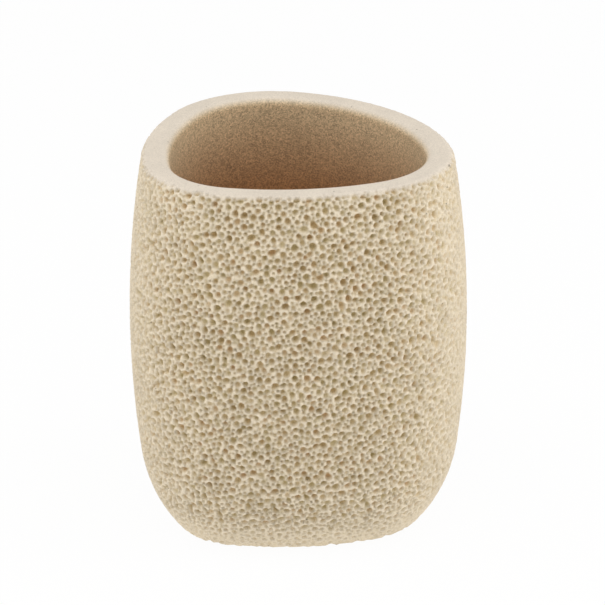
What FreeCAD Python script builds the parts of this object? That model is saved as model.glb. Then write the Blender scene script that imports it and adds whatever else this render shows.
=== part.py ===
import FreeCAD, Part
import math
import os
import Sketcher

# Bathroom tumbler: a cast resin cup with a rounded-triangle plan and barrel sides, on three foam pads.
# The wall is one section carried round the belly line, and a flat floor closes it inside.
# Frame: +Z up, origin on the table under the middle of the cup, +Y towards the flat back, apex towards -Y.
# All sizes are millimetres.

SIZES = {
    # Belly line, the cup's outline at its widest level
    "belly_width": 91.0,
    "belly_depth": 87.5,
    "back_radius": 56.0,
    "corner_radius": 32.5,
    "flank_radius": 73.0,
    "apex_radius": 29.5,
    # Outside of the wall, from the base up: the insets run inwards from the belly line
    "body_height": 100.0,
    "belly_height": 56.0,
    "base_inset": 12.0,
    "foot_radius": 39.0,
    "barrel_radius": 270.0,
    "rim_outer_radius": 1.8,
    # Mouth and cavity
    "mouth_inset": 10.8,
    "rim_inner_radius": 2.2,
    "floor_bevel": 6.0,
    "floor_thickness": 9.0,
    "floor_lap": 2.0,
    # Stuck-on pads under the base
    "pad_radius": 6.0,
    "pad_thickness": 1.5,
    "pad_margin": 4.0,
    "adhesive_thickness": 0.2,
}

UP = FreeCAD.Vector(0, 0, 1)
# How a sketch numbers its own axes, and the ends and centre of its curves
HORIZONTAL_AXIS, VERTICAL_AXIS = range(-1, -3, -1)
START, END, CENTRE = range(1, 4)
ORIGIN_POINT = (HORIZONTAL_AXIS, START)


def point(across, along):
    """A point of a sketch."""
    return FreeCAD.Vector(across, along, 0)


def heading(start, end):
    """The direction from one sketch point to another, as an angle."""
    return math.atan2(end.y - start.y, end.x - start.x)


def on_circle(centre, radius, angle):
    """The point of a circle at an angle."""
    return centre + point(math.cos(angle), math.sin(angle)) * radius


def circles_meet(first, first_radius, second, second_radius):
    """Where two circles cross, on the right of the way from the first centre to the second."""
    way = second - first
    span = way.Length
    way.normalize()
    along = (first_radius ** 2 - second_radius ** 2 + span ** 2) / (2 * span)
    aside = math.sqrt(first_radius ** 2 - along ** 2)
    return first + way * along + point(way.y, -way.x) * aside


def arc(centre, radius, start, end):
    """An arc that turns anticlockwise from one angle to the other."""
    return Part.ArcOfCircle(Part.Circle(centre, UP, radius), start, end)


def new_sizes_sheet(document):
    """The sheet of driving dimensions, one named cell each."""
    sheet = document.addObject("Spreadsheet::Sheet", "Sizes")
    for row, (name, value) in enumerate(SIZES.items(), start=1):
        sheet.set(f"A{row}", name)
        sheet.set(f"B{row}", str(value))
        sheet.setAlias(f"B{row}", name)
    document.recompute()
    return sheet


def new_sketch(body, name, plane_role):
    """An empty sketch on one of the body's own planes."""
    sketch = body.newObject("Sketcher::SketchObject", name)
    plane = next(item for item in body.Origin.OriginFeatures if item.Role == plane_role)
    sketch.AttachmentSupport = [(plane, "")]
    sketch.MapMode = "FlatFace"
    return sketch


def drive(sketch, name, formula, *constraint):
    """Add a dimension to a sketch and bind it to a formula in the sheet's names."""
    index = sketch.addConstraint(Sketcher.Constraint(*constraint))
    sketch.renameConstraint(index, name)
    sketch.setExpression(f"Constraints.{name}", formula)


# Places that more than one feature needs, as formulas in the sheet's names
REACH = "Sizes.belly_depth / 2"
CORNER_ACROSS = "(Sizes.belly_width / 2 - Sizes.corner_radius)"
CORNER_ALONG = (
    f"({REACH} - Sizes.back_radius"
    f" + sqrt((Sizes.back_radius - Sizes.corner_radius) ^ 2 - {CORNER_ACROSS} ^ 2))"
)
FLOOR_INSET = "(Sizes.mouth_inset + Sizes.floor_bevel)"
PAD_STACK = "Sizes.pad_thickness + Sizes.adhesive_thickness"
PAD_SETBACK = "(Sizes.base_inset + Sizes.pad_margin + Sizes.pad_radius)"


def plan_sketch(body, name, inset):
    """Six tangent arcs: flat back, left corner, left flank, apex, right flank and right corner.

    The outline lies inside the belly line by the inset, so its arcs share the belly line's centres.
    """
    sketch = new_sketch(body, name, "XY_Plane")
    back_radius, corner_radius = SIZES["back_radius"], SIZES["corner_radius"]
    flank_radius, apex_radius = SIZES["flank_radius"], SIZES["apex_radius"]
    reach = SIZES["belly_depth"] / 2
    across = SIZES["belly_width"] / 2 - corner_radius
    back = point(0, reach - back_radius)
    corner = point(across, back.y + math.sqrt((back_radius - corner_radius) ** 2 - across ** 2))
    apex = point(0, apex_radius - reach)
    flank = circles_meet(corner, flank_radius - corner_radius, apex, flank_radius - apex_radius)
    back_turn, flank_turn, apex_turn = heading(back, corner), heading(flank, corner), heading(flank, apex)

    def mirrored(spot):
        return point(-spot.x, spot.y)

    sketch.addGeometry([
        arc(back, back_radius, back_turn, math.pi - back_turn),
        arc(mirrored(corner), corner_radius, math.pi - back_turn, math.pi - flank_turn),
        arc(mirrored(flank), flank_radius, math.pi - flank_turn, math.pi - apex_turn),
        arc(apex, apex_radius, math.pi - apex_turn, 2 * math.pi + apex_turn),
        arc(flank, flank_radius, apex_turn, flank_turn),
        arc(corner, corner_radius, flank_turn, back_turn),
    ], False)
    arcs = range(6)
    back_arc, left_corner, left_flank, apex_arc, right_flank, right_corner = arcs
    for this in arcs:
        following = (this + 1) % len(arcs)
        sketch.addConstraint(Sketcher.Constraint("Tangent", this, END, following, START))
    for middle in (back_arc, apex_arc):
        sketch.addConstraint(Sketcher.Constraint("PointOnObject", middle, CENTRE, VERTICAL_AXIS))
    sketch.addConstraint(Sketcher.Constraint("Horizontal", left_corner, CENTRE, right_corner, CENTRE))
    sketch.addConstraint(Sketcher.Constraint("Equal", left_corner, right_corner))
    sketch.addConstraint(Sketcher.Constraint("Equal", left_flank, right_flank))
    for part, member in (("back", back_arc), ("corner", right_corner),
                         ("flank", right_flank), ("apex", apex_arc)):
        radius = SIZES[f"{part}_radius"]
        drive(sketch, f"{part}_arc", f"Sizes.{part}_radius - {inset}", "Radius", member, radius)
    drive(sketch, "corner_across", CORNER_ACROSS, "DistanceX", *ORIGIN_POINT, right_corner, CENTRE, across)
    drive(sketch, "back_centre", f"Sizes.back_radius - {REACH}",
          "DistanceY", back_arc, CENTRE, *ORIGIN_POINT, -back.y)
    drive(sketch, "apex_centre", f"{REACH} - Sizes.apex_radius",
          "DistanceY", apex_arc, CENTRE, *ORIGIN_POINT, -apex.y)
    return sketch


def wall_section(body):
    """The wall cut through the middle of the back: base, barrel side, rim, cavity side and floor strip."""
    sketch = new_sketch(body, "wall_section", "YZ_Plane")
    reach = SIZES["belly_depth"] / 2
    height, belly_height = SIZES["body_height"], SIZES["belly_height"]
    foot_radius, barrel_radius = SIZES["foot_radius"], SIZES["barrel_radius"]
    outer_radius, inner_radius = SIZES["rim_outer_radius"], SIZES["rim_inner_radius"]
    floor_level = SIZES["floor_thickness"]
    mouth_reach = reach - SIZES["mouth_inset"]
    floor_reach = mouth_reach - SIZES["floor_bevel"]
    strip_reach = floor_reach - SIZES["floor_lap"]

    base_end = point(reach - SIZES["base_inset"], 0)
    barrel = point(reach - barrel_radius, belly_height)
    foot = circles_meet(base_end, foot_radius, barrel, barrel_radius - foot_radius)
    foot_start, foot_end = heading(foot, base_end), heading(barrel, foot)
    outer_turn = math.asin((height - outer_radius - belly_height) / (barrel_radius - outer_radius))
    rim_outer = on_circle(barrel, barrel_radius - outer_radius, outer_turn)
    rim_inner = point(mouth_reach + inner_radius, height - inner_radius)
    wall_end = point(mouth_reach, floor_level + SIZES["floor_bevel"])

    sketch.addGeometry([
        Part.LineSegment(point(strip_reach, 0), base_end),
        arc(foot, foot_radius, foot_start, foot_end),
        arc(barrel, barrel_radius, foot_end, outer_turn),
        arc(rim_outer, outer_radius, outer_turn, math.pi / 2),
        Part.LineSegment(point(rim_outer.x, height), point(rim_inner.x, height)),
        arc(rim_inner, inner_radius, math.pi / 2, math.pi),
        Part.LineSegment(point(mouth_reach, rim_inner.y), wall_end),
        Part.LineSegment(wall_end, point(floor_reach, floor_level)),
        Part.LineSegment(point(floor_reach, floor_level), point(strip_reach, floor_level)),
        Part.LineSegment(point(strip_reach, floor_level), point(strip_reach, 0)),
    ], False)
    (base_line, foot_arc, barrel_arc, outer_arc, rim_line,
     inner_arc, wall_line, bevel_line, floor_line, strip_line) = range(10)

    rounded = (foot_arc, barrel_arc, outer_arc, rim_line, inner_arc, wall_line)
    for this, following in zip(rounded, rounded[1:]):
        sketch.addConstraint(Sketcher.Constraint("Tangent", this, END, following, START))
    cornered = (wall_line, bevel_line, floor_line, strip_line, base_line, foot_arc)
    for this, following in zip(cornered, cornered[1:]):
        sketch.addConstraint(Sketcher.Constraint("Coincident", this, END, following, START))
    for level in (base_line, rim_line, floor_line):
        sketch.addConstraint(Sketcher.Constraint("Horizontal", level))
    for upright in (wall_line, strip_line):
        sketch.addConstraint(Sketcher.Constraint("Vertical", upright))
    sketch.addConstraint(Sketcher.Constraint("PointOnObject", base_line, START, HORIZONTAL_AXIS))

    for part, member in (("foot", foot_arc), ("barrel", barrel_arc),
                         ("rim_outer", outer_arc), ("rim_inner", inner_arc)):
        drive(sketch, f"{part}_arc", f"Sizes.{part}_radius", "Radius", member, SIZES[f"{part}_radius"])
    across = "DistanceX", *ORIGIN_POINT
    above = "DistanceY", *ORIGIN_POINT
    drive(sketch, "barrel_centre", f"{REACH} - Sizes.barrel_radius", *across, barrel_arc, CENTRE, barrel.x)
    drive(sketch, "belly_level", "Sizes.belly_height", *above, barrel_arc, CENTRE, belly_height)
    drive(sketch, "base_reach", f"{REACH} - Sizes.base_inset", *across, base_line, END, base_end.x)
    drive(sketch, "rim_level", "Sizes.body_height", *above, rim_line, START, height)
    drive(sketch, "mouth_reach", f"{REACH} - Sizes.mouth_inset", *across, wall_line, START, mouth_reach)
    drive(sketch, "bevel_level", "Sizes.floor_thickness + Sizes.floor_bevel",
          *above, wall_line, END, wall_end.y)
    drive(sketch, "floor_reach", f"{REACH} - {FLOOR_INSET}", *across, floor_line, START, floor_reach)
    drive(sketch, "floor_level", "Sizes.floor_thickness", *above, floor_line, START, floor_level)
    drive(sketch, "strip_reach", f"{REACH} - {FLOOR_INSET} - Sizes.floor_lap",
          *across, strip_line, START, strip_reach)
    return sketch


def tumbler_body(document):
    """The one-piece casting: the wall section carried round the belly line, and the floor inside it."""
    body = document.addObject("PartDesign::Body", "tumbler_body")
    belly_line = plan_sketch(body, "belly_line", "0")
    section = wall_section(body)
    document.recompute()
    wall = body.newObject("PartDesign::AdditivePipe", "barrel_wall")
    wall.Profile = section
    wall.Spine = belly_line
    wall.Refine = False
    document.recompute()
    floor_plan = plan_sketch(body, "floor_plan", f"({FLOOR_INSET} + Sizes.floor_lap / 2)")
    floor = body.newObject("PartDesign::Pad", "floor")
    floor.Profile = floor_plan
    floor.setExpression("Length", "Sizes.floor_thickness")
    body.setExpression("Placement.Base.z", PAD_STACK)
    return body


def disc(document, name, thickness, place):
    """A flat round disc under the base, at a place given by three formulas."""
    item = document.addObject("Part::Cylinder", name)
    item.setExpression("Radius", "Sizes.pad_radius")
    item.setExpression("Height", thickness)
    for axis, formula in zip("xyz", place):
        item.setExpression(f"Placement.Base.{axis}", formula)
    return item


def pads_and_adhesive(document):
    """A foam pad and its film of adhesive near each corner of the base."""
    slant = f"(Sizes.corner_radius - {PAD_SETBACK}) / sqrt(2)"
    places = {
        "left": (f"-{CORNER_ACROSS} - {slant}", f"{CORNER_ALONG} + {slant}"),
        "right": (f"{CORNER_ACROSS} + {slant}", f"{CORNER_ALONG} + {slant}"),
        "front": ("0", f"{PAD_SETBACK} - {REACH}"),
    }
    items = []
    for side, (across, along) in places.items():
        items.append(disc(document, f"foam_pad_{side}", "Sizes.pad_thickness", (across, along, "0")))
        items.append(disc(document, f"adhesive_disc_{side}", "Sizes.adhesive_thickness",
                          (across, along, "Sizes.pad_thickness")))
    return items


def check(document, parts):
    """Stop unless every feature computed and every part is one valid solid."""
    for item in document.Objects:
        if {"Invalid", "Error"} & set(item.State):
            raise RuntimeError(f"{item.Label} did not compute: {item.State}")
    for item in parts:
        if item.Shape.isNull() or not item.Shape.isValid() or len(item.Shape.Solids) != 1:
            raise RuntimeError(f"{item.Label} is not one valid solid")


def main():
    document = FreeCAD.newDocument("tumbler")
    new_sizes_sheet(document)
    parts = [tumbler_body(document), *pads_and_adhesive(document)]
    document.recompute()
    check(document, parts)
    os.makedirs("parts", exist_ok=True)
    for item in parts:
        item.Shape.exportStep(f"parts/{item.Label}.step")
        print(item.Label, round(item.Shape.Volume, 1), item.Shape.BoundBox)


main()
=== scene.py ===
"""Looks of a bathroom tumbler: a pitted cast resin cup on three foam pads, on a plain pale stage."""
import itertools
import math

import bpy
import numpy as np
from mathutils import Matrix, Vector


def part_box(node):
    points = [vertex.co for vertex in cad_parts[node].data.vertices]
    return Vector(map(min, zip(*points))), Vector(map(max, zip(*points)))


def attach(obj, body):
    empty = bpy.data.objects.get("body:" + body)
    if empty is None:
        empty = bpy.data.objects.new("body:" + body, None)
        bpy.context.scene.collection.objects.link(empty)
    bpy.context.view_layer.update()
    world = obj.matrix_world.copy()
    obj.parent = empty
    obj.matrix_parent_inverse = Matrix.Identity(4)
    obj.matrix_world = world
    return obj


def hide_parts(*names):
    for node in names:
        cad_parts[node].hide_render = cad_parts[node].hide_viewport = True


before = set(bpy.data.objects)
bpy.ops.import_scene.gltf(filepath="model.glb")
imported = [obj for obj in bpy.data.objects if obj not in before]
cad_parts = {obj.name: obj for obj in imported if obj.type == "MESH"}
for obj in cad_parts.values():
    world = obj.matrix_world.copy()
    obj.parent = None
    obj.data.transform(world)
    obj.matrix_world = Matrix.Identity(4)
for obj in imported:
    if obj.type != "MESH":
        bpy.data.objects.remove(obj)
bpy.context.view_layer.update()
CUP_LOW, CUP_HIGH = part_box("tumbler_body")
PAD_SIDES = ("left", "right", "front")
MILLIMETRE = 0.001

bl_info = {
    "name": "Bathroom tumbler",
    "version": (1, 0, 0),
    "blender": (4, 5, 0),
    "location": "3D View > Sidebar > Tumbler",
    "description": "Builds a pitted cast resin tumbler with foam pads on a pale stage",
    "category": "Object",
}

# Columns of the pitted outside for each column of the cup's plain surfaces
FINE_COLUMNS = 4
# Points along the stretches of the cup's plain surfaces, with both ends
OUTER_LIP_POINTS = 5
LIP_TOP_POINTS = 5
INNER_LIP_POINTS = 10
CAVITY_POINTS = 14
FLOOR_EDGE_POINTS = 10
FLAT_POINTS = 6

# Columns of a pad, and points along the stretches of its profile, with both ends
PAD_COLUMNS = 72
PAD_EDGE_POINTS = 6
PAD_SIDE_POINTS = 9
PAD_FLAT_POINTS = 7
# Where a pad's flat faces have their first and last ring, as shares of their radius
PAD_FLAT_SHARES = (0.1, 0.95)

# Steps, as shares of the two sides, of a sequence that fills an area evenly
EVEN_STEPS = (0.754878, 0.569840)
# Mean, spread, least and most of what differs from pore to pore: radius and depth as shares, and tint
RADIUS_SHARES = (1, 0.13, 0.65, 1.35)
DEPTH_SHARES = (1, 0.16, 0.55, 1.35)
TINT_SHARES = (0.28, 0.32, 0, 1)

# Cells, in metres, for looking up near pores: while they are pushed apart, and while the outside is sunk
PUSH_CELL = 0.0034
SINK_CELL = 0.0019
# Steps in rows and columns to the cells round a cell, and to itself
NEAR_CELLS = tuple(itertools.product((-1, 0, 1), repeat=2))
# Share of a push that a pore makes in one round, and how many rounds there are
PUSH_SHARE = 0.7
PUSH_ROUNDS = 50
# Lengths, in metres, that keep a distance and a radius from being zero
LEAST_GAP = 1e-9
LEAST_RADIUS = 1e-5

# Where pores start and end to grow shallower, as shares of the way from the cup's middle to its back
BACK_SHARES = (-0.2, 0.45)
# What the pores keep of their radius at the base, and of their depth at the base and at the lip
BASE_RADIUS_SHARE = 0.75
BASE_DEPTH_SHARE = 0.45
LIP_DEPTH_SHARE = 0.6
# The most that a wide pore's depth grows with its radius
WIDE_DEPTH_SHARE = 1.2
# A pore's form: the power of its bowl, and, as shares of its radius, the place and width of the painted
# highlight on its rim, and where the skin beyond it starts and ends to sag
BOWL_POWER = 2.6
HIGHLIGHT_PLACE_SHARE = 1.08
HIGHLIGHT_WIDTH_SHARE = 0.17
SAG_SHARES = (1.15, 1.6)
# How bright the painted highlight on the rim of the smallest pore is, beside that on a large one
DOT_HIGHLIGHT_SHARE = 0.45
# How far a pore's outline strays from a circle, as a share of its radius
WOBBLE_SHARE = 0.11
# Tint of the skin between the pores
SKIN_TINT = 0.35
# Wavelengths, in metres, of the pores' outlines, their upper edge below the lip, and the worn base
WOBBLE_WAVE = 0.0021
LIP_WAVE = 0.005
WORN_WAVE = 0.0022

# Sockets of a Mix node that mixes colours
MIX_FROM, MIX_TO, MIX_OUT = 6, 7, 2
# Range in which most values of a noise texture lie
NOISE_RANGE = {"From Min": 0.3, "From Max": 0.7}
# Sizes, in millimetres, of what the textures draw
DENT_MM = 1.3
SAND_MM = 0.25
GRAIN_MM = 0.3
DRIFT_MM = 9.0
GRIT_GAP_MM = 5.0
FOAM_CELL_MM = 0.35
STREAK_MM = 1.5
# Distances from the middle of a texture's cell, as shares of its size, over which a dent or a speck fades
DENT_FADE = {"From Min": 0.5, "From Max": 0.15}
GRIT_FADE = {"From Min": 0.03, "From Max": 0.06}
# How much of the pores' olive a dent takes on as painted shade, and of its own dark colour a speck of grit
# shows
DENT_SHADE_SHARE = 0.15
GRIT_TONE_SHARE = 0.7
# Least and most brightness of the resin by its sand's shade, and by its slow drift
SHADE_LEVELS = (0.88, 1.08)
DRIFT_LEVELS = (0.96, 1.03)
# Brightness of the darkest and of the brightest grains, outside and in the cavity
DARK_GRAIN_LEVELS = (0.92, 0.52)
BRIGHT_GRAIN_LEVELS = (1.08, 1.48)
WHITE = (1.0, 1.0, 1.0, 1.0)
# Width of the camera's sensor, in millimetres, and how far it sees, in metres
SENSOR_WIDTH_MM = 36.0
VIEW_DEPTH = 20.0


def linear(code):
    """An sRGB hex colour as linear red, green and blue."""
    levels = [int(code[place:place + 2], 16) / 255 for place in (1, 3, 5)]
    return tuple(v / 12.92 if v <= 0.04045 else ((v + 0.055) / 1.055) ** 2.4 for v in levels)


def length(name, description, default):
    """A length in metres that a user may change."""
    return bpy.props.FloatProperty(
        name=name, description=description, default=default, min=0, precision=5, unit="LENGTH")


def colour(name, description, code):
    """A colour that a user may change, written as sRGB hex."""
    return bpy.props.FloatVectorProperty(
        name=name, description=description, default=linear(code), size=3, min=0, max=1, subtype="COLOR")


def number(name, description, default):
    """A plain number that a user may change."""
    return bpy.props.FloatProperty(name=name, description=description, default=default, precision=4)


def whole(name, description, default):
    """A count that a user may change."""
    return bpy.props.IntProperty(name=name, description=description, default=default, min=0)


def turn(name, description, degrees):
    """An angle that a user may change."""
    return bpy.props.FloatProperty(
        name=name, description=description, default=math.radians(degrees), subtype="ANGLE")


class CupSizes(bpy.types.PropertyGroup):
    """Sizes of the cup that its box in the frame doesn't give"""
    back_radius: length("Back radius", "Curve of the flat back at the belly", 0.056)
    corner_radius: length("Corner radius", "Curve of the two back corners at the belly", 0.0325)
    flank_radius: length("Flank radius", "Curve of the two sides at the belly", 0.073)
    apex_radius: length("Apex radius", "Curve of the front corner at the belly", 0.0295)
    belly_height: length("Belly height", "Widest level above the base", 0.056)
    base_inset: length("Base inset", "How far the base edge lies inside the belly", 0.012)
    foot_radius: length("Foot radius", "Upright curve of the foot", 0.039)
    barrel_radius: length("Barrel radius", "Upright curve of the sides", 0.270)
    rim_outer_radius: length("Outer lip radius", "Rounding of the lip's outer edge", 0.0018)
    rim_inner_radius: length("Inner lip radius", "Rounding of the lip's inner edge", 0.0022)
    mouth_inset: length("Mouth inset", "How far the cavity lies inside the belly", 0.0108)
    floor_thickness: length("Floor thickness", "Resin under the cavity", 0.009)
    floor_round: length("Floor round", "Rounding between cavity wall and floor", 0.008)
    base_band: length("Base band", "Width of the edge strip on the underside", 0.003)
    cavity_start: length("Cavity start", "Depth below the rim where the cavity's look starts", 0.0001)
    cavity_full: length("Cavity full", "Depth below the rim where the cavity's look is full", 0.0018)


class PitSettings(bpy.types.PropertyGroup):
    """Sizes and numbers of the pores"""
    mesh_step: length("Mesh step", "Grid step of the outside before it is thinned", 0.00025)
    triangles: whole("Triangles", "About how many triangles the thinned cup keeps", 195000)
    seed: whole("Seed", "Start of the random draws", 7)
    pores_per_area: number("Pores", "Large pores in a square millimetre at the belly", 0.212)
    dots_per_area: number("Dots", "Small pores in a square millimetre at the belly", 0.25)
    pore_radius: length("Pore radius", "Mean radius of a large pore", 0.00088)
    dot_radius: length("Dot radius", "Mean radius of a small pore", 0.00052)
    spread_width: length("Spread width", "Wall that large pores first keep between them", 0.0006)
    ridge_width: length("Ridge width", "Wall that all pores then keep between them", 0.00024)
    pore_depth: length("Pore depth", "Depth of a large pore", 0.00135)
    back_share: number("Back share", "Depth that the pores keep towards the back", 0.65)
    skin_sag: length("Skin sag", "How far the skin dips between the pores' rims", 0.00012)
    smooth_band: length("Smooth band", "Plain strip below the lip", 0.0001)
    fade_band: length("Fade band", "Strip over which the pores grow to full size", 0.0012)
    base_band: length("Base band", "Strip over which the pores shrink towards the base", 0.014)
    base_rough: length("Base roughness", "How far the skin near the base is worn back", 0.00025)
    lip_share: number("Lip share", "How much of the lip's outer rounding has pores", 0.95)


class PadSizes(bpy.types.PropertyGroup):
    """Sizes of the foam pads that their boxes in the frame don't give"""
    edge_round: length("Edge round", "Rounding of a pad's cut edges", 0.0003)
    side_sink: length("Side sink", "How far a pad's cut side bows inwards", 0.00015)


class Finishes(bpy.types.PropertyGroup):
    """Colours of resin, foam, film and floor, with painted shade and a painted highlight among the
    resin's, and where the resin's looks change
    """
    # Painted highlight: the pores' rims are paler than the ridge, standing in for light that catches them
    rim_highlight: colour("Crest", "Resin on the pores' rims", "#EADCC5")
    ridge: colour("Ridge", "Resin between the pores", "#E2D2B5")
    # Painted shade: the pores' olive and brown are darker than the ridge, standing in for the shade in the
    # pores; how far a pore leans to the brown differs at random
    olive: colour("Olive", "Resin in most pores", "#C3B182")
    brown: colour("Brown", "Resin in the redder pores", "#CBA97D")
    lip: colour("Lip", "Resin on the smooth lip", "#E1D5C4")
    # Painted shade: the cavity's colours are darker and browner than the lip, standing in for the shade
    # inside the cup, and darker still deeper down
    cavity: colour("Cavity", "Resin inside the cup, near its mouth", "#CCB38E")
    depth_shade: colour("Depths", "Resin deep inside the cup", "#B4865B")
    speck: colour("Speck", "Grit that shows in the resin", "#75664F")
    foam: colour("Foam", "Foam of the pads", "#CFCBC2")
    foam_cell: colour("Foam cell", "Cut cells of the foam", "#A9A498")
    film: colour("Film", "Adhesive film", "#D8D3C2")
    stage: colour("Stage", "Floor under the cup", "#FAFAF8")
    lip_start: length("Lip start", "Depth below the rim where the lip's look starts", 0.0015)
    lip_full: length("Lip full", "Depth below the rim where the lip's look is full", 0.0002)
    depth_shade_start: length("Depths start", "Depth below the rim where the cavity starts to darken", 0.004)
    depth_shade_full: length("Depths full", "Depth below the rim where the cavity is darkest", 0.024)


class StageSettings(bpy.types.PropertyGroup):
    """Camera, lights and floor"""
    azimuth: turn("Azimuth", "Camera's turn round the cup", 47.16)
    elevation: turn("Elevation", "Camera's height above the table", 21.96)
    roll: turn("Roll", "Camera's lean", -0.2)
    distance: length("Distance", "Camera's distance from the cup", 1.4)
    focal_length: number("Focal length", "Lens, in millimetres on a 36 mm sensor", 321.0)
    aim_right: length("Aim right", "Camera's shift to its right", 0.00426)
    aim_up: length("Aim up", "Camera's shift upwards", 0.00642)
    world_strength: number("World", "Brightness of the surroundings", 0.575)
    top_strength: number("Top lamp", "Power of the lamp overhead, in watts", 3.4)
    left_strength: number("Left lamp", "Power of the lamp on the left, in watts", 2.0)
    right_strength: number("Right lamp", "Power of the lamp on the right, in watts", 2.5)
    top_size: length("Top lamp size", "Side of the lamp overhead", 0.8)
    top_forward: length("Top lamp forward", "Its place in front of the cup", 0.4)
    top_rise: length("Top lamp rise", "Its height above the cup's middle", 0.9)
    side_size: length("Side lamp size", "Side of the lamps on the left and right", 0.6)
    side_reach: length("Side lamp reach", "Their distance beside the cup", 0.85)
    side_forward: length("Side lamp forward", "Their place in front of the cup", 0.1)
    side_rise: length("Side lamp rise", "Their height above the cup's middle", 0.25)
    floor_half: length("Floor half", "Half the floor's side", 3.0)
    shadow_share: number("Shadow", "How much of the floor's own shade the camera sees", 0.05)
    table_glow: number("Table glow", "Light from the floor itself", 0.75)


def heading(vector):
    """The direction of a plane vector, as an angle."""
    return math.atan2(vector[1], vector[0])


def circles_meet(first, first_radius, second, second_radius):
    """Where two circles cross, on the right of the way from the first centre to the second.

    For radii r and s and centres d apart, that is a = (r^2 - s^2 + d^2) / 2d along the way and the root of
    r^2 - a^2 aside.
    """
    way = second - first
    span = math.hypot(*way)
    way = way / span
    along = (first_radius ** 2 - second_radius ** 2 + span ** 2) / (2 * span)
    aside = math.sqrt(first_radius ** 2 - along ** 2)
    return first + way * along + np.array([way[1], -way[0]]) * aside


def along_arcs(arcs, distances):
    """Points, outward normals and radii at distances along a chain of tangent arcs.

    An arc is (centre, radius, start angle, end angle), and a point on it is
    centre + radius * (cos a, sin a) with a = start + distance / radius; its normal is (cos a, sin a).
    """
    centres = np.array([arc[0] for arc in arcs])
    radii, starts, ends = np.array([arc[1:] for arc in arcs]).T
    joints = np.concatenate([[0], np.cumsum(radii * (ends - starts))])
    member = np.clip(np.searchsorted(joints, distances, side="right") - 1, 0, len(arcs) - 1)
    angles = starts[member] + (distances - joints[member]) / radii[member]
    normals = np.stack([np.cos(angles), np.sin(angles)], axis=1)
    return centres[member] + radii[member, None] * normals, normals, radii[member]


def arcs_length(arcs):
    """The length of a chain of arcs: the sum of radius times turn."""
    return sum(radius * (end - start) for _, radius, start, end in arcs)


def belly_arcs(sizes):
    """The cup's outline at its widest level, from the middle of the apex round to it again.

    The right half is apex, flank, corner and back, and the left half mirrors it. Two arcs meet smoothly
    because their centres lie as far apart as their radii differ.
    """
    reach = (CUP_HIGH.y - CUP_LOW.y) / 2
    across = (CUP_HIGH.x - CUP_LOW.x) / 2 - sizes.corner_radius
    back = np.array([0, reach - sizes.back_radius])
    rise = math.sqrt((sizes.back_radius - sizes.corner_radius) ** 2 - across ** 2)
    corner = back + np.array([across, rise])
    apex = np.array([0, sizes.apex_radius - reach])
    flank = circles_meet(corner, sizes.flank_radius - sizes.corner_radius,
                         apex, sizes.flank_radius - sizes.apex_radius)
    back_turn = heading(corner - back)
    flank_turn = heading(corner - flank)
    apex_turn = heading(apex - flank)
    right = (
        (apex, sizes.apex_radius, -math.pi / 2, apex_turn),
        (flank, sizes.flank_radius, apex_turn, flank_turn),
        (corner, sizes.corner_radius, flank_turn, back_turn),
        (back, sizes.back_radius, back_turn, math.pi / 2),
    )
    left = [(centre * [-1, 1], radius, math.pi - end, math.pi - start)
            for centre, radius, start, end in reversed(right)]
    return [*right, *left]


def section_arcs(sizes, lip_share):
    """Arcs of the wall's section: pitted foot, barrel and outer lip, then the lip's plain arcs.

    The section's plane has the distance outwards from the belly line first and the height above the base
    second. Here too, arcs that meet have centres as far apart as their radii differ.
    """
    height = CUP_HIGH.z - CUP_LOW.z
    base_edge = np.array([-sizes.base_inset, 0])
    barrel = np.array([-sizes.barrel_radius, sizes.belly_height])
    foot = circles_meet(base_edge, sizes.foot_radius, barrel, sizes.barrel_radius - sizes.foot_radius)
    foot_start, foot_end = heading(base_edge - foot), heading(foot - barrel)
    outer, inner = sizes.rim_outer_radius, sizes.rim_inner_radius
    lip_turn = math.asin((height - outer - sizes.belly_height) / (sizes.barrel_radius - outer))
    lip = barrel + (sizes.barrel_radius - outer) * np.array([math.cos(lip_turn), math.sin(lip_turn)])
    inner_lip = np.array([inner - sizes.mouth_inset, height - inner])
    pitted_turn = lip_turn + lip_share * (math.pi / 2 - lip_turn)
    pitted = ((foot, sizes.foot_radius, foot_start, foot_end),
              (barrel, sizes.barrel_radius, foot_end, lip_turn),
              (lip, outer, lip_turn, pitted_turn))
    outer_lip = (lip, outer, pitted_turn, math.pi / 2)
    return pitted, outer_lip, (inner_lip, inner, math.pi / 2, math.pi)


def round_belly(arcs, columns):
    """Points, outward normals and radii at even steps round the belly line."""
    return along_arcs(arcs, np.arange(columns) / columns * arcs_length(arcs))


def carried_round(section, line, normals):
    """A section carried round the belly line: point = line + outward * normal, at the section's height."""
    flat = line[None] + section[:, None, :1] * normals[None]
    heights = np.broadcast_to(section[:, None, 1:] + CUP_LOW.z, (*flat.shape[:2], 1))
    return np.concatenate([flat, heights], axis=2)


def shrunk(ring, steps):
    """Rings drawn in towards the middle: point = middle + step * (ring - middle), for each step."""
    middle = ring.mean(axis=0)
    return middle + steps[:, None, None] * (ring - middle)[None]


def smooth_step(low, high, values):
    """0 below low, 1 above high, and 3 t^2 - 2 t^3 between."""
    share_of_way = np.clip((values - low) / (high - low), 0, 1)
    return share_of_way ** 2 * (3 - 2 * share_of_way)


def grown(least, amount):
    """The least share where amount is 0, rising evenly to 1 where amount is 1."""
    return least + (1 - least) * amount


def scattered(rng, count, mean, spread, least, most):
    """Random numbers about a mean, kept between two limits."""
    return np.clip(rng.normal(mean, spread, count), least, most)


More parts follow.
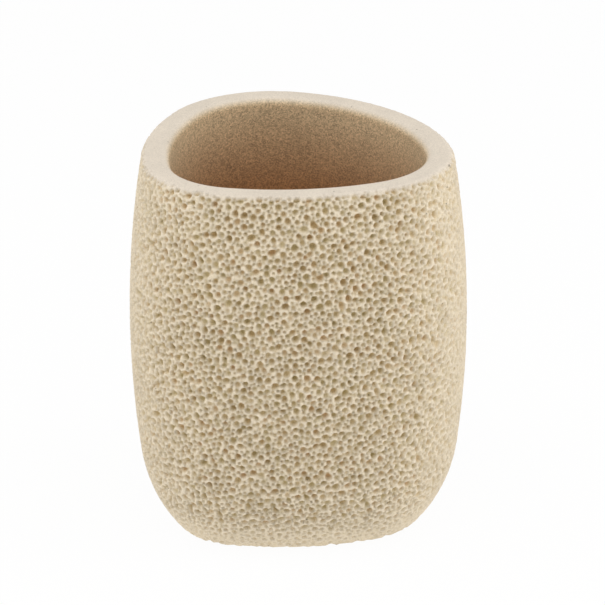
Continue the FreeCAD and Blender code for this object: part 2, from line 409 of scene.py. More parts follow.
def ripple(points, wavelength, rng, waves=7):
    """A smooth random field of about unit size: the scaled sum of sine waves in random directions."""
    directions = rng.normal(size=(waves, 3))
    directions *= (2 * math.pi / wavelength) / np.linalg.norm(directions, axis=1, keepdims=True)
    phases = rng.uniform(0, 2 * math.pi, waves)
    total = np.zeros(points.shape[:-1], np.float32)
    for direction, phase in zip(directions, phases):
        total += np.sin(points @ direction + phase)
    return total * math.sqrt(2 / waves)


def cell_rows(along, cell):
    """The rows of cells at heights up the wall, numbered from 1 because row 0 is an empty one."""
    return (along / cell).astype(int) + 1


class PitPacking:
    """Pores packed on the unrolled outside: across runs round the belly, and along runs up the wall."""

    def __init__(self, round_length, wall_length, squeeze, backness):
        """squeeze is the width of a step round the cup, as a share of that at the belly, over the grid.

        backness is 1 at the back and 0 at the front, for each column.
        """
        self.round_length = round_length
        self.wall_length = wall_length
        self.squeeze = squeeze
        self.backness = backness

    def squeeze_at(self, across, along):
        """The grid's squeeze at places on the unrolled outside."""
        rows, columns = self.squeeze.shape
        row = np.clip((along / self.wall_length * (rows - 1)).astype(int), 0, rows - 1)
        column = (across / self.round_length * columns).astype(int) % columns
        return self.squeeze[row, column]

    def draw(self, settings, rng):
        """Large pores pushed well apart, then small ones among them, with more where the wall is wider.

        A place along a side is the fractional part of start + step * number, times the side, with some
        scatter.
        """
        area = self.round_length * self.wall_length / MILLIMETRE ** 2
        kinds = ((settings.pores_per_area, settings.pore_radius, settings.spread_width),
                 (settings.dots_per_area, settings.dot_radius, settings.ridge_width))
        self.across, self.along, self.radius = np.empty(0), np.empty(0), np.empty(0)
        for density, mean_radius, ridge in kinds:
            count = int(density * area)
            across, along = (
                (rng.uniform() + step * np.arange(count)) % 1 * side + rng.normal(0, mean_radius / 2, count)
                for step, side in zip(EVEN_STEPS, (self.round_length, self.wall_length)))
            across, along = across % self.round_length, np.clip(along, 0, self.wall_length)
            kept = rng.uniform(0, 1, count) < self.squeeze_at(across, along)
            radius = mean_radius * scattered(rng, kept.sum(), *RADIUS_SHARES)
            self.across = np.concatenate([self.across, across[kept]])
            self.along = np.concatenate([self.along, along[kept]])
            self.radius = np.concatenate([self.radius, radius])
            self.push_apart(ridge)

    def table(self, cell):
        """Pore numbers by cell of the unrolled outside, a slot for each pore, and -1 in an empty slot.

        One row of empty cells lies below the wall and one above it. Each pore's row and column follow.
        """
        columns = int(self.round_length / cell)
        filled_rows = int(self.wall_length / cell) + 1
        rows = filled_rows + 2
        column = (self.across / self.round_length * columns).astype(int) % columns
        row = cell_rows(self.along, cell)
        home = row * columns + column
        order = np.argsort(home, kind="stable")
        rank = np.arange(len(order)) - np.searchsorted(home[order], home[order])
        slots = np.full((rows * columns, rank.max() + 1), -1)
        slots[home[order], rank] = order
        return slots.reshape(rows, columns, -1), row, column

    def push_apart(self, ridge):
        """Overlapping pores move off each other, as in a box of shaken discs.

        A pore moves by the overlap times the other's share of their two areas, so the smaller moves more.
        """
        areas = self.radius ** 2
        for _ in range(PUSH_ROUNDS):
            slots, row, column = self.table(PUSH_CELL)
            squeeze = self.squeeze_at(self.across, self.along)
            push = np.zeros((2, len(self.radius)))
            for row_step, column_step in NEAR_CELLS:
                near = slots[row + row_step, (column + column_step) % slots.shape[1]]
                gap_across = self.across[:, None] - self.across[near]
                gap_across -= np.round(gap_across / self.round_length) * self.round_length
                gap_across *= squeeze[:, None]
                gap_along = self.along[:, None] - self.along[near]
                apart = np.hypot(gap_across, gap_along) + LEAST_GAP
                wanted = self.radius[:, None] + self.radius[near] + ridge
                weight = areas[near] / (areas[:, None] + areas[near])
                nobody = (near < 0) | (near == np.arange(len(near))[:, None])
                overlap = np.where(nobody, 0, np.clip(wanted - apart, 0, None)) * weight / apart
                push[0] += (overlap * gap_across).sum(axis=1) / squeeze
                push[1] += (overlap * gap_along).sum(axis=1)
            self.across = (self.across + PUSH_SHARE * push[0]) % self.round_length
            self.along = np.clip(self.along + PUSH_SHARE * push[1], 0, self.wall_length)

    def shape_pores(self, grid, settings, rng):
        """Each pore's centre on the grid, radius, depth and tint.

        Depth goes with radius. Both shrink towards the base, the depth also towards lip and back, and no
        pore is wider than the room that lip and base leave it.
        """
        rows, columns = grid.shape[:2]
        row = np.round(self.along / self.wall_length * (rows - 1)).astype(int)
        column = np.round(self.across / self.round_length * columns).astype(int) % columns
        centres = grid[row, column].astype(np.float32)
        ragged = settings.smooth_band * (1 + ripple(centres, LIP_WAVE, rng))
        below_lip = self.wall_length - self.along - ragged
        off_lip = smooth_step(0, settings.fade_band, below_lip)
        off_base = smooth_step(0, settings.base_band, self.along)
        room = np.clip(np.minimum(below_lip, self.along), LEAST_RADIUS, None)
        radius = np.minimum(self.radius * grown(BASE_RADIUS_SHARE, off_base), room)
        deep = settings.pore_depth * scattered(rng, len(radius), *DEPTH_SHARES)
        deep *= np.clip(radius / settings.pore_radius, 0, WIDE_DEPTH_SHARE)
        deep *= grown(LIP_DEPTH_SHARE, off_lip) * grown(BASE_DEPTH_SHARE, off_base)
        deep *= grown(settings.back_share, 1 - self.backness[column])
        tint = scattered(rng, len(radius), *TINT_SHARES)
        return centres, radius, deep, tint

    def near_pores(self, rows, columns):
        """One after another, the pores of the cells near each point of a grid, as arrays of numbers."""
        slots, _, _ = self.table(SINK_CELL)
        row = cell_rows(np.linspace(0, self.wall_length, rows), SINK_CELL)
        column = (np.arange(columns) / columns * slots.shape[1]).astype(int)
        for row_step, column_step in NEAR_CELLS:
            near = slots[(row + row_step)[:, None], ((column + column_step) % slots.shape[1])[None]]
            yield from np.moveaxis(near, 2, 0)

    def sink(self, grid, settings, rng):
        """How deep each grid point lies, and its values for the material: painted pore shade, painted rim
        highlight and tint.

        Depth is the greatest over the near pores of deep * (1 - q^power), where q is the distance from the
        pore's middle over its radius, so a pore is a bowl with a crisp edge. The pores' painted shade
        follows that depth, and the painted highlight on their rims is a bell curve over q. Farther from the
        pores the skin sags, and near the base it is worn back in waves.
        """
        rows, columns = grid.shape[:2]
        centres, radius, deep, tint = self.shape_pores(grid, settings, rng)
        size = radius / settings.pore_radius
        radius, deep, tint, size = (value.astype(np.float32) for value in (radius, deep, tint, size))
        points = grid.astype(np.float32)
        wobble = 1 + WOBBLE_SHARE * ripple(points, WOBBLE_WAVE, rng)
        depth = np.zeros((rows, columns), np.float32)
        hue = np.full((rows, columns), SKIN_TINT, np.float32)
        nearest = np.full((rows, columns), np.inf, np.float32)
        bigness = np.zeros((rows, columns), np.float32)
        for pore in self.near_pores(rows, columns):
            off = points - centres[pore]
            ratio = np.sqrt((off * off).sum(axis=2)) * wobble / radius[pore]
            sunk = deep[pore] * np.clip(1 - ratio ** BOWL_POWER, 0, None)
            deeper = (sunk > depth) & (pore >= 0)
            depth = np.where(deeper, sunk, depth)
            hue = np.where(deeper, tint[pore], hue)
            closer = (ratio < nearest) & (pore >= 0)
            nearest = np.where(closer, ratio, nearest)
            bigness = np.where(closer, size[pore], bigness)
        # Painted shade in the pores, growing with their depth
        pit_shade = np.clip(depth / settings.pore_depth, 0, 1)
        # Painted highlight on the pores' rims, weaker on small pores
        rim_highlight = np.exp(-((nearest - HIGHLIGHT_PLACE_SHARE) / HIGHLIGHT_WIDTH_SHARE) ** 2)
        rim_highlight *= np.clip(grown(DOT_HIGHLIGHT_SHARE, bigness), 0, 1)
        along = np.linspace(0, self.wall_length, rows)[:, None]
        sag = settings.skin_sag * smooth_step(0, settings.fade_band, self.wall_length - along)
        depth += sag * smooth_step(*SAG_SHARES, nearest)
        worn = settings.base_rough * (1 - smooth_step(0, settings.base_band / 2, along))
        depth += worn * np.clip((1 + ripple(points, WORN_WAVE, rng)) / 2, 0, None)
        return depth, {"pit_shade": pit_shade, "rim_highlight": rim_highlight, "hue": hue}


def ring_faces(rows, columns, first):
    """Quads of a grid closed round its columns, whose points are numbered from first."""
    numbers = first + np.arange(rows * columns).reshape(rows, columns)
    ahead = np.roll(numbers, -1, axis=1)
    return np.stack([numbers[:-1], ahead[:-1], ahead[1:], numbers[1:]], axis=2).reshape(-1, 4)


def fan_faces(columns, pole, first, pole_below):
    """Triangles from a pole to the ring whose points are numbered from first."""
    ring = first + np.arange(columns)
    ahead = np.roll(ring, -1)
    poles = np.full(columns, pole)
    return np.stack([poles, ahead, ring] if pole_below else [ring, ahead, poles], axis=1)


def step_faces(coarse_columns, coarse_first, fine_first, coarse_below):
    """Triangles between a coarse ring and a fine ring that has FINE_COLUMNS points for each of its points.

    The first half of those points joins the coarse point itself, and the rest joins the next one.
    """
    coarse = coarse_first + np.arange(coarse_columns)
    coarse_ahead = np.roll(coarse, -1)
    fine = fine_first + np.arange(FINE_COLUMNS * coarse_columns).reshape(-1, FINE_COLUMNS)
    fine = np.concatenate([fine, np.roll(fine[:, :1], -1, axis=0)], axis=1)
    half = FINE_COLUMNS // 2
    sides = [(coarse if place < half else coarse_ahead, fine[:, place + 1], fine[:, place])
             for place in range(FINE_COLUMNS)]
    sides.insert(half, (coarse, coarse_ahead, fine[:, half]))
    faces = np.concatenate([np.stack(side, axis=1) for side in sides])
    return faces if coarse_below else faces[:, ::-1]


def new_piece(name, points, faces, material):
    """A smooth-shaded mesh object from an array of points and a list of arrays of faces."""
    mesh = bpy.data.meshes.new(name)
    mesh.vertices.add(len(points))
    mesh.vertices.foreach_set("co", np.ascontiguousarray(points, np.float32).ravel())
    corners = np.concatenate([group.ravel() for group in faces])
    sizes = np.concatenate([np.full(len(group), group.shape[1]) for group in faces])
    mesh.loops.add(len(corners))
    mesh.loops.foreach_set("vertex_index", corners.astype(np.int32))
    mesh.polygons.add(len(sizes))
    mesh.polygons.foreach_set("loop_start", (np.cumsum(sizes) - sizes).astype(np.int32))
    mesh.update(calc_edges=True)
    mesh.shade_smooth()
    mesh.materials.append(material)
    piece = bpy.data.objects.new(name, mesh)
    bpy.context.scene.collection.objects.link(piece)
    return piece


def add_values(piece, name, values):
    """A number for each point of a piece, which its material reads by name."""
    layer = piece.data.attributes.new(name, "FLOAT", "POINT")
    layer.data.foreach_set("value", np.ascontiguousarray(values, np.float32))


def thin_out(piece, fine_count, triangles):
    """Thin out the first fine_count points of a piece to about a number of triangles, and keep the rest."""
    fine = piece.vertex_groups.new(name="fine")
    fine.add(range(fine_count), 1.0, "REPLACE")
    piece.data.calc_loop_triangles()
    thin = piece.modifiers.new("thin_out", "DECIMATE")
    thin.ratio = triangles / len(piece.data.loop_triangles)
    thin.vertex_group = fine.name
    graph = bpy.context.evaluated_depsgraph_get()
    mesh = bpy.data.meshes.new_from_object(
        piece.evaluated_get(graph), preserve_all_data_layers=True, depsgraph=graph)
    mesh.name = piece.name
    piece.modifiers.clear()
    piece.vertex_groups.clear()
    piece.data = mesh


def pitted_outside(arcs, pitted, coarse_columns, settings):
    """The outside as a grid sunk into its pores, and the values that its material reads.

    A point moves against its normal by its depth, and stays above the base.
    """
    rng = np.random.default_rng(settings.seed)
    round_length, wall_length = arcs_length(arcs), arcs_length(pitted)
    columns, rows = FINE_COLUMNS * coarse_columns, int(wall_length / settings.mesh_step)
    line, normals, bend = round_belly(arcs, columns)
    wall, wall_normals, _ = along_arcs(pitted, np.linspace(0, wall_length, rows))
    outside = carried_round(wall, line, normals)
    backness = smooth_step(*BACK_SHARES, line[:, 1] / CUP_HIGH.y)
    packing = PitPacking(round_length, wall_length, 1 + wall[:, None, 0] / bend[None], backness)
    packing.draw(settings, rng)
    depth, values = packing.sink(outside, settings, rng)
    facing = np.concatenate([wall_normals[:, None, :1] * normals[None],
                             np.broadcast_to(wall_normals[:, None, 1:], (rows, columns, 1))], axis=2)
    outside = outside - depth[:, :, None] * facing
    outside[:, :, 2] = np.maximum(outside[:, :, 2], CUP_LOW.z)
    return outside, values


def plain_section(sizes, outer_lip, inner_lip):
    """Section points across the lip's top, and then from its inner rounding down to the cavity floor.

    Down the cavity wall they stand at start + t^2 * (end - start), and the floor's edge is a quarter
    circle.
    """
    over_lip, into_mouth = (
        along_arcs([arc], np.linspace(0, arcs_length([arc]), count))[0]
        for arc, count in ((outer_lip, OUTER_LIP_POINTS), (inner_lip, INNER_LIP_POINTS)))
    top = np.linspace(over_lip[-1], into_mouth[0], LIP_TOP_POINTS)[1:-1]
    wall_end = np.array([-sizes.mouth_inset, sizes.floor_thickness + sizes.floor_round])
    steps = np.linspace(0, 1, CAVITY_POINTS)[1:-1, None] ** 2
    wall = into_mouth[-1] + (wall_end - into_mouth[-1]) * steps
    angles = np.linspace(0, math.pi / 2, FLOOR_EDGE_POINTS)
    floor_edge = wall_end - sizes.floor_round * np.stack([1 - np.cos(angles), np.sin(angles)], axis=1)
    return np.concatenate([over_lip[1:], top]), np.concatenate([into_mouth, wall, floor_edge])


def cup_shell(sizes, settings):
    """Points, faces and material values of the whole cup, and how many of its first points are fine.

    Rows run from the middle of the underside, over the outside, the lip and the cavity wall, to the middle
    of the cavity floor. The outside is a fine grid, numbered first, and the rest has fewer columns.
    """
    arcs = belly_arcs(sizes)
    pitted, outer_lip, inner_lip = section_arcs(sizes, settings.lip_share)
    columns = int(arcs_length(arcs) / settings.mesh_step / FINE_COLUMNS)
    outside, values = pitted_outside(arcs, pitted, columns, settings)
    rows, fine_columns = outside.shape[:2]

    line, normals, _ = round_belly(arcs, columns)
    crossing, descent = plain_section(sizes, outer_lip, inner_lip)
    inside = carried_round(np.concatenate([crossing, descent]), line, normals)
    floor = shrunk(inside[-1], np.linspace(1, 0, FLAT_POINTS)[1:-1])
    inside = np.concatenate([inside, floor])
    band = carried_round(np.array([[-sizes.base_inset - sizes.base_band, 0]]), line, normals)[0]
    under = shrunk(band, np.linspace(0, 1, FLAT_POINTS)[1:])

    parts = (outside, under, inside)
    counts = [part.shape[0] * part.shape[1] for part in parts]
    outside_first, under_first, inside_first, poles = np.cumsum([0, *counts])
    middles = [under[0].mean(axis=0)[None], floor[-1].mean(axis=0)[None]]
    points = np.concatenate([*(part.reshape(-1, 3) for part in parts), *middles])
    faces = [
        fan_faces(columns, poles, under_first, True),
        ring_faces(len(under), columns, under_first),
        step_faces(columns, under_first + (len(under) - 1) * columns, outside_first, True),
        ring_faces(rows, fine_columns, outside_first),
        step_faces(columns, inside_first, outside_first + (rows - 1) * fine_columns, False),
        ring_faces(len(inside), columns, inside_first),
        fan_faces(columns, poles + 1, inside_first + (len(inside) - 1) * columns, False),
    ]

    within = smooth_step(sizes.cavity_start, sizes.cavity_full, CUP_HIGH.z - inside[:, 0, 2])
    within[:len(crossing)] = 0
    layers = {name: np.zeros(len(points)) for name in (*values, "within")}
    for name, grid in values.items():
        layers[name][:grid.size] = grid.ravel()
    layers["within"][inside_first:poles] = np.repeat(within, columns)
    layers["within"][-1] = 1
    return points, faces, layers, counts[0]


def foam_disc(middle, radius, low, high, sizes):
    """Points and faces of a pad: a rounded profile turned about an upright axis, its cut side bowed in.

    The side stands at radius - sink * sin(pi t) for t from its lower to its upper rounding.
    """
    edge = sizes.edge_round
    turns = np.linspace(-math.pi / 2, 0, PAD_EDGE_POINTS)
    lower = np.stack([radius - edge + edge * np.cos(turns), low + edge + edge * np.sin(turns)], axis=1)
    upper = np.stack([lower[::-1, 0], low + high - lower[::-1, 1]], axis=1)
    bow = np.linspace(0, 1, PAD_SIDE_POINTS)[1:-1]
    side = np.stack([radius - sizes.side_sink * np.sin(math.pi * bow),
                     low + edge + bow * (high - low - 2 * edge)], axis=1)
    flat = np.linspace(*PAD_FLAT_SHARES, PAD_FLAT_POINTS) * (radius - edge)
    below = np.stack([flat, np.full_like(flat, low)], axis=1)
    above = np.stack([flat[::-1], np.full_like(flat, high)], axis=1)
    profile = np.concatenate([below, lower, side, upper, above])
    angles = np.arange(PAD_COLUMNS) / PAD_COLUMNS * 2 * math.pi
    grid = np.stack([middle[0] + profile[:, :1] * np.cos(angles),
                     middle[1] + profile[:, :1] * np.sin(angles),
                     np.broadcast_to(profile[:, 1:], (len(profile), PAD_COLUMNS))], axis=2)
    poles = np.array([[*middle, low], [*middle, high]])
    count = len(profile) * PAD_COLUMNS
    faces = [fan_faces(PAD_COLUMNS, count, 0, True), ring_faces(len(profile), PAD_COLUMNS, 0),
             fan_faces(PAD_COLUMNS, count + 1, count - PAD_COLUMNS, False)]
    return np.concatenate([grid.reshape(-1, 3), poles]), faces


def add_node(tree, kind, inputs=None, **settings):
    """Add a shader node with its settings, and set or link its inputs."""
    node = tree.nodes.new(kind)
    for name, value in settings.items():
        setattr(node, name, value)
    for name, value in (inputs or {}).items():
        if isinstance(value, bpy.types.NodeSocket):
            tree.links.new(value, node.inputs[name])
        else:
            node.inputs[name].default_value = value
    return node


def new_material(name):
    """An empty node material and its tree."""
    material = bpy.data.materials.new(name)
    material.use_nodes = True
    material.node_tree.nodes.clear()
    return material, material.node_tree


def opaque(rgb):
    """A colour with full alpha, as node sockets take it."""
    return (*rgb, 1.0)


def per_metre(size_in_mm):
    """The texture scale at which one cell measures a size in millimetres."""
    return 1 / (size_in_mm * MILLIMETRE)


def skin_dents(tree, place, lip, within):
    """Fine dents on the skin between the pores: 0 on the lip and in the cavity."""
    cells = add_node(tree, "ShaderNodeTexVoronoi", {"Vector": place, "Scale": per_metre(DENT_MM)},
                     feature="SMOOTH_F1")
    dent = add_node(tree, "ShaderNodeMapRange", {"Value": cells.outputs["Distance"], **DENT_FADE})
    plain = add_node(tree, "ShaderNodeMath", {0: lip, 1: within}, operation="ADD", use_clamp=True)
    skin = add_node(tree, "ShaderNodeMath", {0: 1.0, 1: plain.outputs[0]}, operation="SUBTRACT")
    return add_node(tree, "ShaderNodeMath", {0: dent.outputs["Result"], 1: skin.outputs[0]},
                    operation="MULTIPLY").outputs[0]


def resin_colour(tree, finish, height, lip, within, dent):
    """The resin's colour without its sand: skin, dents, rims, pores, lip and cavity, each over the last;
    the dents, pores and cavity carry painted shade and the rims a painted highlight.
    """
    pit_shade, rim_highlight, hue = (add_node(tree, "ShaderNodeAttribute", attribute_name=name).outputs["Fac"]
                       for name in ("pit_shade", "rim_highlight", "hue"))
    # Painted shade: the cavity grows darker from one depth below the rim to a greater one
    down = add_node(tree, "ShaderNodeMapRange", {
        "Value": height, "From Min": CUP_HIGH.z - finish.depth_shade_start,
        "From Max": CUP_HIGH.z - finish.depth_shade_full})
    # Painted shade: the dents take on some of the pores' olive, standing in for the shade in them
    dent_shade = add_node(tree, "ShaderNodeMath", {0: dent, 1: DENT_SHADE_SHARE}, operation="MULTIPLY")
    # Painted shade: the pores' floor colour, olive or brown by a tint that differs at random, and the
    # cavity's colour, darker deeper down
    pore_shade, cavity = (
        add_node(tree, "ShaderNodeMix", {"Factor": factor, MIX_FROM: opaque(near), MIX_TO: opaque(far)},
                 data_type="RGBA").outputs[MIX_OUT]
        for factor, near, far in ((hue, finish.olive, finish.brown),
                                  (down.outputs["Result"], finish.cavity, finish.depth_shade)))
    tone = opaque(finish.ridge)
    # Each mask lays its colour over the last: painted shade in the dents, a painted highlight on the pores'
    # rims, painted shade in the pores, the lip, and painted shade in the cavity
    for factor, over in ((dent_shade.outputs[0], opaque(finish.olive)), (rim_highlight, opaque(finish.rim_highlight)),
                         (pit_shade, pore_shade), (lip, opaque(finish.lip)), (within, cavity)):
        tone = add_node(tree, "ShaderNodeMix", {"Factor": factor, MIX_FROM: tone, MIX_TO: over},
                        data_type="RGBA").outputs[MIX_OUT]
    return tone


def sand_level(tree, place, sand, within):
    """How bright the sand makes the resin: shade, slow drift, and grains that show most in the cavity."""
    cloud = add_node(tree, "ShaderNodeTexNoise", {
        "Vector": place, "Scale": per_metre(DRIFT_MM), "Detail": 2.0}).outputs["Fac"]
    shade, drift = (
        add_node(tree, "ShaderNodeMapRange", {"Value": noise, **NOISE_RANGE, "To Min": low, "To Max": high})
        for noise, (low, high) in ((sand, SHADE_LEVELS), (cloud, DRIFT_LEVELS)))
    grains = add_node(tree, "ShaderNodeTexVoronoi", {"Vector": place, "Scale": per_metre(GRAIN_MM)})
    darkest, brightest = (
        add_node(tree, "ShaderNodeMapRange", {"Value": within, "To Min": outside, "To Max": inside})
        for outside, inside in (DARK_GRAIN_LEVELS, BRIGHT_GRAIN_LEVELS))
    sparkle = add_node(tree, "ShaderNodeMapRange", {
        "Value": grains.outputs["Color"], "To Min": darkest.outputs["Result"],
        "To Max": brightest.outputs["Result"]})
    level = shade.outputs["Result"]
    for factor in (drift, sparkle):
        level = add_node(tree, "ShaderNodeMath", {0: level, 1: factor.outputs["Result"]},
                         operation="MULTIPLY").outputs[0]
    return level


def cast_resin(finish):
    """Matte polyester resin cast with sand and stone powder in a soft mould.

    The eye sees pores with an olive or reddish floor, whose tint differs at random, darkened by painted
    shade that grows with their depth and ringed by a painted highlight on their rims, finer dents between
    them with painted shade in them, a smooth chalky lip, a sandy cavity browner by painted shade that grows
    deeper down, and a few dark specks of grit. Real sand is finer than the render shows, so its grains are
    drawn 0.25 to
    0.3 mm wide.
    """
    material, tree = new_material("cast_sand_resin")
    place = add_node(tree, "ShaderNodeTexCoord").outputs["Object"]
    within = add_node(tree, "ShaderNodeAttribute", attribute_name="within").outputs["Fac"]
    height = add_node(tree, "ShaderNodeSeparateXYZ", {"Vector": place}).outputs["Z"]
    sand = add_node(tree, "ShaderNodeTexNoise", {
        "Vector": place, "Scale": per_metre(SAND_MM), "Detail": 2.0}).outputs["Fac"]
    lip = add_node(tree, "ShaderNodeMapRange", {
        "Value": height, "From Min": CUP_HIGH.z - finish.lip_start,
        "From Max": CUP_HIGH.z - finish.lip_full}).outputs["Result"]
    dent = skin_dents(tree, place, lip, within)
    tone = resin_colour(tree, finish, height, lip, within, dent)
    sanded = add_node(tree, "ShaderNodeVectorMath", {
        0: tone, "Scale": sand_level(tree, place, sand, within)}, operation="SCALE")
    grit = add_node(tree, "ShaderNodeTexVoronoi", {"Vector": place, "Scale": per_metre(GRIT_GAP_MM)})
    dark = add_node(tree, "ShaderNodeMapRange", {
        "Value": grit.outputs["Distance"], **GRIT_FADE, "To Min": GRIT_TONE_SHARE, "To Max": 0.0})
    flecked = add_node(tree, "ShaderNodeMix", {
        "Factor": dark.outputs["Result"], MIX_FROM: sanded.outputs[0], MIX_TO: opaque(finish.speck)},
        data_type="RGBA")
    grain = add_node(tree, "ShaderNodeBump", {
        "Height": sand, "Strength": 0.5, "Distance": 0.12 * MILLIMETRE})
    bump = add_node(tree, "ShaderNodeBump", {
        "Height": dent, "Strength": 0.35, "Distance": 0.2 * MILLIMETRE,
        "Normal": grain.outputs["Normal"]}, invert=True)
    surface = add_node(tree, "ShaderNodeBsdfPrincipled", {
        "Base Color": flecked.outputs[MIX_OUT], "Normal": bump.outputs["Normal"], "Roughness": 0.82,
        "IOR": 1.5, "Specular IOR Level": 0.5})
    add_node(tree, "ShaderNodeOutputMaterial", {"Surface": surface.outputs["BSDF"]})
    return material


def pad_foam(finish):
    """Closed-cell EVA foam, die-cut from sheet: a dull grey with fine cells on its skin and cut side.

    The cells are drawn 0.35 mm wide, coarser than real ones, so that they show.
    """
    material, tree = new_material("eva_foam")
    place = add_node(tree, "ShaderNodeTexCoord").outputs["Object"]
    cells = add_node(tree, "ShaderNodeTexVoronoi", {"Vector": place, "Scale": per_metre(FOAM_CELL_MM)})
    tone = add_node(tree, "ShaderNodeMix", {
        "Factor": cells.outputs["Distance"], MIX_FROM: opaque(finish.foam),
        MIX_TO: opaque(finish.foam_cell)}, data_type="RGBA")
    bump = add_node(tree, "ShaderNodeBump", {
        "Height": cells.outputs["Distance"], "Strength": 0.6, "Distance": 0.1 * MILLIMETRE}, invert=True)
    surface = add_node(tree, "ShaderNodeBsdfPrincipled", {
        "Base Color": tone.outputs[MIX_OUT], "Normal": bump.outputs["Normal"], "Roughness": 0.9,
        "IOR": 1.45})
    add_node(tree, "ShaderNodeOutputMaterial", {"Surface": surface.outputs["BSDF"]})
    return material


def tape_film(finish):
    """Acrylic transfer adhesive: a milky film with a soft shine and faint streaks from its coating."""
    material, tree = new_material("acrylic_adhesive")
    place = add_node(tree, "ShaderNodeTexCoord").outputs["Object"]
    streaks = add_node(tree, "ShaderNodeTexNoise", {
        "Vector": place, "Scale": per_metre(STREAK_MM), "Detail": 2.0}).outputs["Fac"]
    gloss = add_node(tree, "ShaderNodeMapRange", {"Value": streaks, "To Min": 0.25, "To Max": 0.5})
    tone = add_node(tree, "ShaderNodeMix", {
        "Factor": streaks, MIX_FROM: opaque(finish.film), MIX_TO: opaque(finish.foam)}, data_type="RGBA")
    surface = add_node(tree, "ShaderNodeBsdfPrincipled", {
        "Base Color": tone.outputs[MIX_OUT], "Roughness": gloss.outputs["Result"], "IOR": 1.47})
    add_node(tree, "ShaderNodeOutputMaterial", {"Surface": surface.outputs["BSDF"]})
    return material


def seen_rays(tree):
    """1 for rays from the camera, or off or through a shiny surface, and 0 for rays that light things."""
    path = add_node(tree, "ShaderNodeLightPath").outputs
    shiny = add_node(tree, "ShaderNodeMath", {0: path["Is Glossy Ray"], 1: path["Is Transmission Ray"]},
                     operation="ADD")
    return add_node(tree, "ShaderNodeMath", {0: path["Is Camera Ray"], 1: shiny.outputs[0]},
                    operation="ADD", use_clamp=True).outputs[0]


def pale_floor(finish, shadow_share, table_glow):
    """Matte white board of a light table, seen as white with a share of its shade and the cup's shadow."""
    material, tree = new_material("matte_white_board")
    board = add_node(tree, "ShaderNodeBsdfDiffuse", {"Color": opaque(finish.stage)})
    glow = add_node(tree, "ShaderNodeEmission", {"Color": WHITE, "Strength": 1.0})
    white_part = add_node(tree, "ShaderNodeMapRange", {
        "Value": seen_rays(tree), "To Min": table_glow, "To Max": 1 - shadow_share})
    both = add_node(tree, "ShaderNodeMixShader", {
        0: white_part.outputs[0], 1: board.outputs[0], 2: glow.outputs[0]})
    add_node(tree, "ShaderNodeOutputMaterial", {"Surface": both.outputs[0]})
    return material


def white_world(strength):
    """White surroundings that light things at a strength of their own."""
    world = bpy.data.worlds.new("studio")
    world.use_nodes = True
    tree = world.node_tree
    tree.nodes.clear()
    lit, white = (add_node(tree, "ShaderNodeBackground", {"Color": WHITE, "Strength": level}).outputs[0]
                  for level in (strength, 1.0))
    mixed = add_node(tree, "ShaderNodeMixShader", {0: seen_rays(tree), 1: lit, 2: white})
    add_node(tree, "ShaderNodeOutputWorld", {"Surface": mixed.outputs[0]})
    return world


def add_lamp(name, power, size, place, target):
    """A square soft lamp at a place, turned to its target."""
    lamp = bpy.data.lights.new(name, "AREA")
    lamp.energy = power
    lamp.size = size
    holder = bpy.data.objects.new(name, lamp)
    holder.location = place
    holder.rotation_euler = (target - place).to_track_quat("-Z", "Y").to_euler()
    bpy.context.scene.collection.objects.link(holder)


def add_camera(settings, middle, right):
    """A camera that looks down at the middle, shifted to its right and upwards, and leaning a little."""
    flat = math.cos(settings.elevation)
    back = Vector((math.sin(settings.azimuth) * flat, -math.cos(settings.azimuth) * flat,
                   math.sin(settings.elevation)))
    up = back.cross(right)
    place = middle + back * settings.distance + right * settings.aim_right + up * settings.aim_up
    facing = (-back).to_track_quat("-Z", "Y").to_matrix().to_4x4()
    lens = bpy.data.cameras.new("camera")
    lens.sensor_width = SENSOR_WIDTH_MM
    lens.lens = settings.focal_length
    lens.clip_end = VIEW_DEPTH
    camera = bpy.data.objects.new("camera", lens)
    camera.matrix_world = Matrix.Translation(place) @ (facing @ Matrix.Rotation(settings.roll, 4, "Z"))
    bpy.context.scene.collection.objects.link(camera)
    return camera


class TUMBLER_OT_cup(bpy.types.Operator):
    """Cast the cup, with its pores"""
    bl_idname = "tumbler.cup"
    bl_label = "Cast cup"

    def execute(self, context):
        scene = context.scene
        points, faces, layers, fine_count = cup_shell(scene.tumbler_cup, scene.tumbler_pits)
        cup = new_piece("cast_cup", points, faces, cast_resin(scene.tumbler_finishes))
        for name, values in layers.items():
            add_values(cup, name, values)
        thin_out(cup, fine_count, scene.tumbler_pits.triangles)
        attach(cup, "root")
        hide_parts("tumbler_body")
        return {"FINISHED"}


class TUMBLER_OT_pads(bpy.types.Operator):
    """Cut the three foam pads under the base"""
    bl_idname = "tumbler.pads"
    bl_label = "Foam pads"

    def execute(self, context):
        scene = context.scene
        foam = pad_foam(scene.tumbler_finishes)
        for side in PAD_SIDES:
            low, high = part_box(f"foam_pad_{side}")
            middle = ((low.x + high.x) / 2, (low.y + high.y) / 2)
            points, faces = foam_disc(middle, (high.x - low.x) / 2, low.z, high.z, scene.tumbler_pads)
            pad = new_piece(f"pad_{side}", points, faces, foam)
            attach(pad, "root")
            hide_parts(f"foam_pad_{side}")
        return {"FINISHED"}


class TUMBLER_OT_adhesive(bpy.types.Operator):
    """Give the adhesive films their finish"""
    bl_idname = "tumbler.adhesive"
    bl_label = "Adhesive films"

    def execute(self, context):
        film = tape_film(context.scene.tumbler_finishes)
        for side in PAD_SIDES:
            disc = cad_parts[f"adhesive_disc_{side}"]
            disc.data.materials.clear()
            disc.data.materials.append(film)
        return {"FINISHED"}


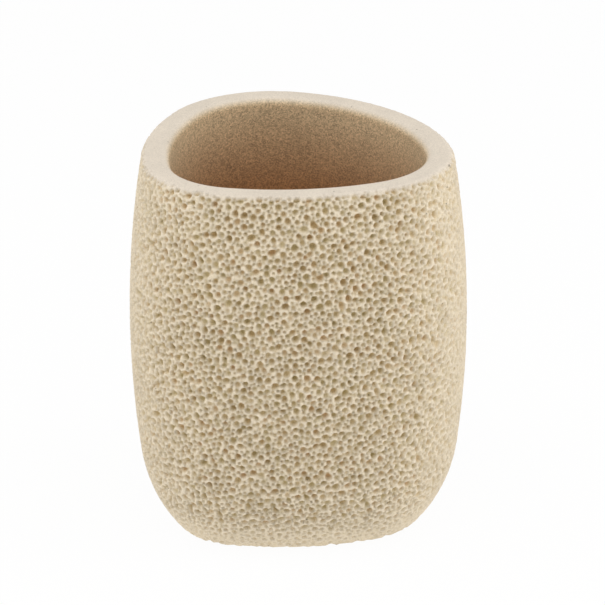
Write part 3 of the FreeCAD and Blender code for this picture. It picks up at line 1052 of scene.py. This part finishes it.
class TUMBLER_OT_stage(bpy.types.Operator):
    """Set the floor, the lights and the camera"""
    bl_idname = "tumbler.stage"
    bl_label = "Stage"

    def execute(self, context):
        scene = context.scene
        settings = scene.tumbler_stage
        board = pale_floor(scene.tumbler_finishes, settings.shadow_share, settings.table_glow)
        corners = settings.floor_half * np.array([[-1, -1, 0], [1, -1, 0], [1, 1, 0], [-1, 1, 0]])
        floor = new_piece("floor", corners, [np.array([[0, 1, 2, 3]])], board)

        scene.world = white_world(settings.world_strength)
        middle = (CUP_LOW + CUP_HIGH) / 2
        right = Vector((math.cos(settings.azimuth), math.sin(settings.azimuth), 0))
        towards = Vector((math.sin(settings.azimuth), -math.cos(settings.azimuth), 0))
        above = Vector((0, 0, 1))
        add_lamp("top_lamp", settings.top_strength, settings.top_size,
                 middle + towards * settings.top_forward + above * settings.top_rise, middle)
        for name, power, way in (("left_lamp", settings.left_strength, -1),
                                 ("right_lamp", settings.right_strength, 1)):
            place = (middle + right * settings.side_reach * way
                     + towards * settings.side_forward + above * settings.side_rise)
            add_lamp(name, power, settings.side_size, place, middle)

        scene.camera = add_camera(settings, middle, right)
        scene.view_settings.view_transform = "Standard"
        return {"FINISHED"}


PIECES = (TUMBLER_OT_cup, TUMBLER_OT_pads, TUMBLER_OT_adhesive, TUMBLER_OT_stage)


class TUMBLER_PT_pieces(bpy.types.Panel):
    """Lists the tumbler's pieces"""
    bl_idname = "TUMBLER_PT_pieces"
    bl_label = "Bathroom tumbler"
    bl_space_type = "VIEW_3D"
    bl_region_type = "UI"
    bl_category = "Tumbler"

    def draw(self, context):
        for piece in PIECES:
            self.layout.operator(piece.bl_idname)


SETTINGS = {
    "tumbler_cup": CupSizes,
    "tumbler_pits": PitSettings,
    "tumbler_pads": PadSizes,
    "tumbler_finishes": Finishes,
    "tumbler_stage": StageSettings,
}


def register():
    """Add the classes to Blender, and the settings to its scenes."""
    for cls in (*SETTINGS.values(), *PIECES, TUMBLER_PT_pieces):
        bpy.utils.register_class(cls)
    for name, group in SETTINGS.items():
        setattr(bpy.types.Scene, name, bpy.props.PointerProperty(type=group))


def unregister():
    """Take the settings and the classes out again."""
    for name in SETTINGS:
        delattr(bpy.types.Scene, name)
    for cls in (TUMBLER_PT_pieces, *reversed(PIECES), *reversed(SETTINGS.values())):
        bpy.utils.unregister_class(cls)


def main():
    """Build every piece and the stage."""
    register()
    bpy.ops.tumbler.cup()
    bpy.ops.tumbler.pads()
    bpy.ops.tumbler.adhesive()
    bpy.ops.tumbler.stage()


if __name__ == "__main__":
    main()
